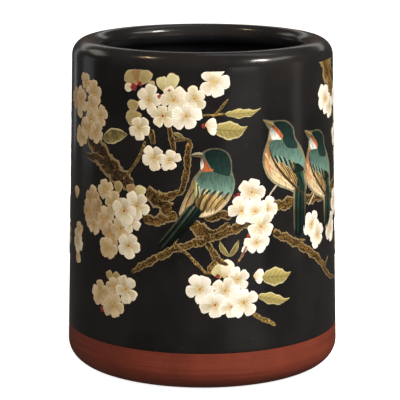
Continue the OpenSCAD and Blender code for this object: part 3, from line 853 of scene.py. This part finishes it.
leafRows = {
    "upperLeftLeaf": ("leaf_upper_left", [("#5c5030", (-37.5, 83.6), (-32, 85.6), (-26.6, 86.4), 2.6, 0.04,
                                           0)]),
    "topLeaves": ("leaves_top", [
        ("#b2a25c", (3.6, 89.6), (10, 88.8), (14.8, 88.8), 3, 0.07, 1.2),
        ("#bcac68", (7.6, 94.4), (14, 94.4), (19.8, 94.6), 1.5, 0.14, 1.2)]),
    "lowLeaves": ("leaves_low", [
        ("#b4a45e", (20.4, 38.8), (26.2, 38.4), (31.4, 37.8), 3.1, 0.07, 1.4),
        ("#bcac68", (18.8, 32.6), (24.8, 30.8), (30.8, 28.8), 1.9, 0.12, 1.4)]),
}
stalks = {
    "topLeaves": [("#5c4c2a", [(0.2, 94, 0.25), (3.6, 94.2, 0.35), (8.6, 94.4, 0.3)]),
                  ("#4e3f22", [(3.4, 93.4, 0.3), (6.2, 96.4, 0.42), (8.8, 99.4, 0.3)])],
    "lowLeaves": [("#5c4c2c", [(17, 26.4, 0.7), (21, 24.2, 0.8), (25.6, 21.6, 0.6)])],
}
for name, (node, rows) in leafRows.items():
    strokes = limbs(stalks.get(name, []), lifts["stalk"]) + leaves(rows, lifts["leaf"])
    printPiece(name, node, strokes)

branchRows = {
    "leftTrunk": ("trunk_left", [
        ("#2a2015", [(-47.5, 87, 2.6), (-43, 82.6, 3.6), (-38.6, 78.6, 3.8), (-33.6, 74.8, 3.6),
                     (-29, 71.6, 3), (-24, 69.6, 2.2)]),
        ("#2e2418", [(-47.4, 76.6, 1), (-42, 77, 1.6), (-37, 76.4, 1.6)]),
        ("#4a3a20", [(-19.6, 85, 0.45), (-21.4, 80.4, 0.5), (-24.6, 75.4, 0.5), (-28.4, 71, 0.4)])]),
    "middleStem": ("stem_middle", [
        ("#362a18", [(-17.6, 89, 0.8), (-17.2, 86.4, 1.1), (-16.6, 84, 0.9)]),
        ("#362a18", [(-11.2, 90, 0.8), (-10.4, 86.4, 1), (-9.4, 82, 1)]),
        ("#362a18", [(-9.8, 85.4, 0.5), (-7, 86.2, 0.6), (-3.6, 85.6, 0.4)]),
        ("#3a2c18", [(-4, 85.6, 0.9), (-4.9, 81, 1.15), (-5.1, 76, 1.15), (-6.2, 71, 1.05),
                     (-7, 68, 0.8)])]),
    "middleBranch": ("branch_middle", [
        ("#3a2c18", [(-20.4, 58.6, 1.6), (-16, 58.4, 1.7), (-12, 59.6, 1.9), (-8.6, 61.2, 1.4)]),
        ("#3a2c18", [(-19, 67.6, 2.4), (-16.4, 66.6, 2.6), (-13, 64, 2.9), (-10.4, 62, 2.4)]),
        ("#3a2c18", [(-15.4, 66.4, 1.4), (-11, 67, 1.4), (-8, 68.2, 1), (-6.2, 69, 0.7)])]),
    "lowBranch": ("branch_low", [
        ("#40321c", [(-24.6, 39.8, 0.5), (-21.4, 42.2, 1.1), (-16, 45.4, 1.3), (-9, 49.2, 1.3),
                     (-2, 51.4, 1.4),
                     (4, 53.6, 1.5), (10, 55.8, 1.7), (15.6, 57.8, 1.5)]),
        ("#3a2c18", [(-4.4, 58.6, 1), (-2, 57.2, 2.3), (0.8, 54.6, 2.2), (1.8, 52.6, 1.2)]),
        ("#3a2c18", [(0.8, 59.2, 1), (4, 60.6, 1.6), (7.4, 60.8, 1.5), (10, 60.6, 1)]),
        ("#40321c", [(1.6, 55.4, 0.8), (5, 55.4, 0.8), (9, 58.2, 0.9)]),
        ("#40321c", [(1.4, 52, 1), (3.6, 48, 1.2), (4.6, 45.6, 1.2), (2.6, 42.6, 0.9), (2.4, 40.6, 0.5)]),
        ("#40321c", [(4, 47, 0.9), (6, 45, 0.9), (8.6, 44, 0.6)]),
        ("#40321c", [(-10.6, 48.6, 0.6), (-12.4, 49.6, 0.5), (-13.6, 51.6, 0.3)]),
        ("#55452a", [(-9.6, 51.2, 0.35), (-5.6, 48.2, 0.45), (-2, 44.6, 0.55), (1.6, 40.8, 0.4)]),
        ("#6a4c40", [(16.6, 54, 0.35), (14.8, 49.6, 0.4), (11.8, 44.4, 0.35)]),
        ("#55452a", [(-5.4, 57, 0.25), (-7.4, 54, 0.3), (-9.6, 50.6, 0.25)])]),
    "perchBranch": ("branch_perch", [
        ("#3a2c18", [(24.6, 62.4, 1.6), (29, 62.6, 1.9), (33.4, 62.8, 2.2)]),
        ("#3a2c18", [(38.6, 62.8, 1.8), (44, 62.8, 1.8), (49, 62.4, 1.5), (53, 60.8, 0.8)]),
        ("#3a2c18", [(56.4, 63.6, 1.5), (62, 64, 1.7), (70, 65.4, 1.8), (78, 68, 1.6), (83, 71, 1)])]),
    "archBranch": ("branch_arch", [
        ("#40321c", [(24.6, 53.6, 1.2), (29, 51.6, 1.5), (34, 49, 1.5), (39, 46, 1.4), (44, 43, 1.4),
                     (49, 39.2, 1.2),
                     (53.6, 34.8, 1), (58, 32.2, 0.8), (63, 31, 0.5)]),
        ("#40321c", [(35.4, 48.6, 0.6), (37.4, 49.2, 0.5), (39.6, 48.8, 0.3)]),
        ("#40321c", [(50.6, 38, 0.6), (53.2, 38.4, 0.5), (54.8, 40.2, 0.3)])]),
    "rightTrunk": ("trunk_right", [
        ("#4a3a1c", [(55.6, 110.5, 6.6), (56.4, 106, 5), (58.6, 101.6, 3.2), (60.6, 97.6, 1.8),
                     (61.6, 94.6, 0.9)]),
        ("#2e2216", [(60, 104, 1.6), (64, 101.6, 2.2), (66, 97, 1.6)])]),
}
brownLeaves = {
    "lowBranch": [("#6e5a30", (8.8, 46.6), (6.6, 49.4), (5.8, 52), 0.9, 0, 0),
                  ("#6e5a30", (9, 46.6), (11, 49.4), (12.2, 52.2), 0.9, 0, 0)],
    "middleStem": [("#5a3c1e", (-9.8, 88), (-7.8, 87.4), (-5.8, 86), 0.7, 0, 0)],
}
for name, (node, rows) in branchRows.items():
    strokes = limbs(rows, lifts["bark"]) + leaves(brownLeaves.get(name, []), lifts["brownLeaf"])
    printPiece(name, node, strokes)
print("bark and leaves printed")

# tints of the birds
outlineTint, headTint, mantleTint, bellyTint = "#978b70", "#1b352f", "#6b8c7e", "#f0d2a4"
throatTint, cheekTint, wingTint = "#f2ece2", "#c8693e", "#1b322b"


def barred(pale):
    # dark feathers with the pale ones between them
    return [wingTint] + [tint for colour in pale for tint in (colour, wingTint)]


def perchingBird(x, z, tail):
    # a bird seen from its left, upright, drawn about its perch at x, z from the pale line round it inwards
    def at(*points):
        return [(x + point[0], z + point[1], *point[2:]) for point in points]

    shapes = [
        (outlineTint, at((-12.2, 27.9), (-8, 27.2), (-3, 27), (0.6, 24.4), (1.6, 20.6), (4.6, 17),
                         (6.6, 12.4), (7, 6), (6.8, 2), (3, 0.6), (-1, 3), (-6, 5), (-10.2, 8.4),
                         (-12.1, 13), (-11.8, 17), (-10.4, 20.6), (-9.5, 24.6))),
        (bellyTint, at((-9.4, 24.4), (-8.4, 21), (-5, 16), (0, 8), (5, 3), (3, 1.2), (-0.8, 3.4),
                       (-5.8, 5.6), (-9.8, 8.9), (-11.6, 13), (-11.3, 17), (-10.1, 20.6))),
        ("#dc9a66", at((-10.1, 20.8), (-8.4, 20.4), (-9, 16), (-9.8, 12.4), (-9, 9), (-10.3, 10.4),
                       (-11.3, 13.2), (-11.2, 17))),
        (headTint, at((-7.8, 26.7), (-3.2, 26.5), (0, 24.2), (0.9, 20.8), (2.6, 17.6), (0, 15.6),
                      (-3.4, 18), (-4.4, 21.4), (-6, 24.4))),
        (throatTint, at((-9.1, 24.8), (-8.6, 21.2), (-5.4, 20.6), (-4.4, 21.8), (-7, 24))),
        (cheekTint, at((-8.4, 25.4), (-6.2, 24.6), (-4.1, 22), (-4.8, 21), (-6.2, 22.6), (-8, 24.4))),
        ("#15120e", at((-6.5, 26), (-5.9, 25.6), (-6.4, 25.1), (-7, 25.5))),
        (mantleTint, at((-9.6, 19.8), (-7.4, 20.8), (-4.4, 20.2), (-2, 17.6), (3.4, 16.4), (5.6, 13),
                        (5.4, 10.2), (1, 12), (-4, 14), (-7.6, 14.6), (-9.6, 17))),
        (wingTint, at((0.6, 12), (5.2, 10.2), (6.2, 6), (6, 1.6), (3.6, 2.6), (0.4, 7))),
    ]
    strokes = outlines(shapes, lifts["bird"], plumageFinish)
    lift = lifts["feather"]
    # the wing: coverts, the bars over them, its lower edge, its quills and its far side
    strokes += feathers(at((-6.8, 13.6), (-3, 11.4), (0.6, 8.6)), at((-4.6, 8), (-1.6, 6.6), (1.8, 4.6)),
                        0.75, lift,
                        ["#c9ad74", "#b58f5c", "#c4a56c", "#ab8654", "#bd9a62", "#a07a48"], 0.3)
    strokes += feathers(at((-7.6, 15.6), (-4, 14.6), (0.6, 12.4)), at((-6.2, 12.4), (-2.4, 11.4), (1.8, 9)),
                        0.34, lift + 0.02,
                        barred(["#8aa08e", "#8aa08e", "#7f978a", "#8a7248"]), 0.2)
    edge = at((-9.6, 18.6, 0.12), (-8.2, 14.4, 0.3), (-4.4, 9.2, 0.4), (0.4, 4.8, 0.4), (5.6, 0.6, 0.2))
    strokes += limbs([("#4a3018", edge)], lift + 0.045, strokeFinish, 0)
    strokes += feathers(at((-5.6, 13), (0.6, 9.4)), at((-1.4, 7.2), (4.4, 3)), 0.16, lift + 0.03,
                        ["#2a1e12", "#3a2a18", "#1f1710", "#3a2a18", "#1f1710"], 0.25)
    strokes += feathers(at((1.4, 8.4), (5.2, 9)), at((5.4, 1.2), (6.4, 2.6)), 0.4, lift + 0.03,
                        ["#27493e", "#12231e", "#2f5548", "#8a7e5c"], 0.2)
    strokes += feathers(at((0.8, 3.4), (3.6, 4), (6, 4.4)), at((0.6, 1.2 - tail), (2.8, -0.6 - tail),
                                                               (5.6, 2 - tail)), 0.58, lift,
                        ["#8a7a5c", "#1f3a30", "#14261f", "#2c4c40", "#14261f", "#12201c", "#243f35",
                         "#14241e", "#5c5b48"], 0.1)
    beak = [("#8a7248", at((-12, 27.8, 0.12), (-9.8, 26.6, 0.55), (-7.8, 25.8, 0.8))),
            ("#3a2a1c", at((-11.4, 27.4, 0.06), (-9.4, 26.2, 0.14), (-7.6, 25.3, 0.16)))]
    strokes += limbs(beak, lift + 0.02, strokeFinish, 0)
    strokes += feathers(at((-11.2, 16.6), (-8.4, 10.6), (-4, 7)), at((-9.4, 12.6), (-5.6, 7.4), (0.6, 3.4)),
                        0.3, lift,
                        ["#e2b888", "#dba876", "#ecd4a8", "#dfb88a", "#ead0a2"], 0.15)
    leg = at((-6.6, 5.6, 0.3), (-8.2, 4, 0.28), (-10, 2, 0.3))
    return strokes + limbs([("#b9ad98", leg)], lifts["bird"], strokeFinish, 0)


def turnedBird():
    # a bird seen from behind with its head to the left, its tail across the branch below
    shapes = [
        (outlineTint, [(-0.2, 81.8), (2.6, 83.1), (6, 83), (8.8, 81.4), (9.9, 78.6), (10, 75.4), (11, 71.6),
                       (10.2, 68), (8, 64.4), (4.6, 61.4), (0, 60), (-4, 61), (-7.8, 60.6), (-6.6, 65),
                       (-4.2, 70), (-3.2, 73), (-0.8, 76.2), (-0.6, 79.4)]),
        ("#c9a474", [(-3.4, 71.8), (-1.8, 71), (-3.4, 66), (-5.6, 61), (-7.4, 61), (-6.2, 65.2)]),
        (bellyTint, [(10.2, 69), (9.6, 67), (7.6, 64.2), (4.6, 61.8), (0, 60.3), (-1, 61), (3, 63.4),
                     (7.6, 68)]),
        (headTint, [(0.8, 81.6), (3, 82.7), (6, 82.6), (8.4, 81), (9.5, 78.2), (9.5, 75.4), (8.6, 73.4),
                    (4.4, 74.6), (2.6, 77.2), (1.2, 79.6)]),
        (throatTint, [(-0.4, 79.2), (0.4, 79.4), (0.6, 76.4), (-0.3, 76), (-0.7, 77.6)]),
        (cheekTint, [(0.2, 79.6), (1.4, 78.6), (2.4, 76.8), (3.8, 75.9), (1.6, 75.4), (-0.2, 75.9),
                     (0.5, 77.4)]),
        (mantleTint, [(-0.8, 74.4), (1.6, 75.4), (4.6, 74.9), (8.4, 73.8), (10, 74), (10.7, 71.4),
                      (9.9, 68.4), (8.6, 67.6), (6.4, 68.4), (3, 68.6), (-0.6, 69.6), (-2.4, 71.4)]),
        (wingTint, [(-1.6, 65.6), (0.6, 64), (-1, 61.2), (-4, 60.4), (-5.6, 58.6), (-8, 58.8), (-5, 63)]),
    ]
    strokes = outlines(shapes, lifts["bird"], plumageFinish)
    lift = lifts["feather"] + 0.01
    # coverts, the bars over them, the near shoulder, fine quills and the tail
    strokes += feathers([(-0.8, 69.4), (3.4, 68), (8, 66.8)], [(-1.6, 62.4), (0.2, 61.4), (4.2, 62.2)],
                        0.72, lift,
                        ["#8a7040", "#6a4e2c", "#c4a56c", "#7a5c36", "#bd9a62", "#c9a870", "#a07a48"], -0.5)
    strokes += feathers([(-0.6, 70), (3.6, 69.2), (9, 68.4)], [(-1.8, 67.6), (2, 67.4), (7, 65.6)], 0.3,
                        lift + 0.02,
                        barred(["#8a9a86", "#c4b48a", "#8a9a86", "#c4b48a", "#7f978a"]), -0.15)
    strokes += feathers([(-2.2, 72.4), (-1.2, 70.6)], [(-3.2, 65.6), (-1, 66.6)], 0.38, lift + 0.02,
                        ["#a99b52", "#c8c294", "#3c4a34", "#a9a088"], 0.3)
    strokes += feathers([(-2.4, 69.6), (2.4, 68.2), (7.8, 67)], [(-5.8, 62.4), (-0.6, 61.6), (3.6, 62.2)],
                        0.15, lift + 0.025,
                        ["#241a10", "#3a2a18", "#241a10", "#3a2a18", "#241a10", "#4a3820"], -0.5)
    strokes += feathers([(-4.6, 63.8), (-2.2, 63.8), (0, 62.4)],
                        [(-14.9, 50.6), (-14, 48.6), (-12.2, 49.4)], 0.55, lift + 0.03,
                        ["#5c5b48", "#101c17", "#1a3028", "#55584a", "#0f1b16", "#16291f", "#0e1814",
                         "#101c17"], 0.4)
    beak = [("#9a9478", [(-3.9, 80.9, 0.1), (-2, 81.4, 0.42), (0.2, 81.3, 0.5)]),
            ("#5a5038", [(-3.7, 80.6, 0.08), (-2, 80.6, 0.35), (-0.2, 80.4, 0.45)]),
            ("#3a3a24", [(-3.5, 80.8, 0.05), (-1.8, 81, 0.14), (-0.2, 80.9, 0.16)])]
    return strokes + limbs(beak, lift + 0.02, strokeFinish, 0)


printPiece("turnedBird", "bird_left", turnedBird())
printPiece("middleBird", "bird_middle", perchingBird(33, 64, 13))
printPiece("rightBird", "bird_right", perchingBird(51.2, 58.6, 7.6))
print("birds printed")

aim = Vector((0, 0, 0.06))
# soft boxes, each with its azimuth from the camera's side to its right, its elevation, distance, width,
# height, watts and tint
lamps = {
    "keyLamp": (48, 44, 0.95, 0.45, 0.45, 13.5, "#fffcf8"),
    "frontLamp": (5, 36, 1.1, 0.5, 0.5, 4.4, "#fff8ee"),
    "leftLamp": (-72, 34, 1, 0.4, 0.4, 2, "#ffe6cc"),
}
# lit cards that only the glaze sees, for the shapes in its reflections: the same, with a strength for watts
cards = {
    "keyCard": (66, 49, 0.95, 0.13, 0.09, 85, "#fffaf2"),
    "keyTail": (88, 44, 0.95, 0.34, 0.14, 3.5, "#f4f0ec"),
    "warmCard": (-92, 64, 0.9, 0.05, 0.05, 70, "#ffdcae"),
    "bandCard": (36, -8, 0.95, 0.56, 0.24, 0.36, "#f0ece6"),
    "bandCardHigh": (36, 10, 0.95, 0.4, 0.34, 0.95, "#f0ece6"),
    "sideCard": (88, 2, 0.95, 0.16, 0.45, 0.55, "#ece4dc"),
    "brownRight": (174, -2, 0.95, 0.16, 0.4, 0.4, "#8a4a2c"),
    "leftCard": (-116, 4, 0.95, 0.3, 0.42, 0.5, "#e4e4e8"),
    "leftCardFar": (-146, 4, 0.95, 0.09, 0.42, 0.8, "#e4e4e8"),
    "brownLeft": (-174, -2, 0.95, 0.16, 0.4, 0.4, "#8a4a2c"),
    "backCard": (180, 24, 1, 1.5, 0.12, 1.3, "#ece8e4"),
    "backCardLeft": (-128, 34, 1, 0.4, 0.2, 1.6, "#f4ece0"),
    "overCard": (150, 62, 1, 0.5, 0.2, 1, "#e8eaf2"),
}


def addToScene(name, data):
    made = bpy.data.objects.new(name, data)
    bpy.context.scene.collection.objects.link(made)
    return made


def facingPot(azimuth, elevation, distance):
    # place = aim + distance * (sin a cos e, -cos a cos e, sin e), and the turn that faces the aim from there
    a, e = math.radians(azimuth), math.radians(elevation)
    place = aim + distance * Vector((math.sin(a) * math.cos(e), -math.cos(a) * math.cos(e), math.sin(e)))
    return place, (aim - place).to_track_quat("-Z", "Y")


def rectangle(name, corners, colour, glow, strength, rough=0.5):
    # a flat sheet for the stage, with its own light
    mesh = bpy.data.meshes.new(name)
    mesh.from_pydata(corners, [], [(0, 1, 2, 3)])
    material, tree, shader = newMaterial(name + "Paper")
    for key, value in (("Base Color", rgba(colour)), ("Roughness", rough), ("Emission Color", rgba(glow)),
                       ("Emission Strength", strength)):
        shader.inputs[key].default_value = value
    mesh.materials.append(material)
    sheet = addToScene(name, mesh)
    return sheet


for name, (azimuth, elevation, distance, wide, tall, power, tint) in lamps.items():
    lamp = bpy.data.lights.new(name, "AREA")
    lamp.shape, lamp.size, lamp.size_y = "RECTANGLE", wide, tall
    lamp.energy, lamp.color = power, hexColour(tint)
    made = addToScene(name, lamp)
    made.location, turn = facingPot(azimuth, elevation, distance)
    made.rotation_euler = turn.to_euler()
    made.visible_glossy = False
for name, (azimuth, elevation, distance, wide, tall, strength, tint) in cards.items():
    place, turn = facingPot(azimuth, elevation, distance)
    corners = [place + turn @ Vector((x * wide / 2, y * tall / 2, 0)) for x,
               y in ((-1, 1), (1, 1), (1, -1), (-1, -1))]
    made = rectangle(name, corners, "#000000", tint, strength)
    made.visible_camera = made.visible_diffuse = made.visible_shadow = made.visible_transmission = False

# the air is white to the camera, dim grey to the glaze, and soft light to everything else
world = bpy.data.worlds.new("studio")
bpy.context.scene.world = world
world.use_nodes = True
tree = world.node_tree
tree.nodes.clear()
soft = addNode(tree, "ShaderNodeBackground", [rgba("#fffaf4"), 0.23])
dim = addNode(tree, "ShaderNodeBackground", [rgba("#8c8782"), 0.26])
pale = addNode(tree, "ShaderNodeBackground", [rgba("#ffffff"), 1])
glossy = addNode(tree, "ShaderNodeLightPath", take="Is Glossy Ray")
seen = addNode(tree, "ShaderNodeLightPath", take="Is Camera Ray")
mixed = addNode(tree, "ShaderNodeMixShader", [glossy, soft, dim])
mixed = addNode(tree, "ShaderNodeMixShader", [seen, mixed, pale])
tree.links.new(mixed, tree.nodes.new("ShaderNodeOutputWorld").inputs["Surface"])

paper = {"half": 6, "drop": 0.00002, "glow": 0.86}   # just under the foot, so the two faces don't coincide
corners = [(paper["half"] * x, paper["half"] * y, -paper["drop"]) for x,
           y in ((-1, -1), (1, -1), (1, 1), (-1, 1))]
floor = rectangle("floor", corners, "#f4f4f4", "#ffffff", paper["glow"], 0.9)
floor.visible_glossy = floor.visible_diffuse = False

view = {"place": (0, -0.6778, 0.1997), "down": 11.96, "left": 0.07, "lens": 176.3,
        "sensor": 36}   # degrees, mm
camera = addToScene("camera", bpy.data.cameras.new("camera"))
camera.data.lens, camera.data.sensor_width = view["lens"], view["sensor"]
camera.data.clip_start, camera.data.clip_end = 0.05, 20
camera.location = view["place"]
camera.rotation_euler = (math.radians(90 - view["down"]), 0, math.radians(view["left"]))
bpy.context.scene.camera = camera
bpy.context.scene.view_settings.view_transform = "Standard"
print("studio set")
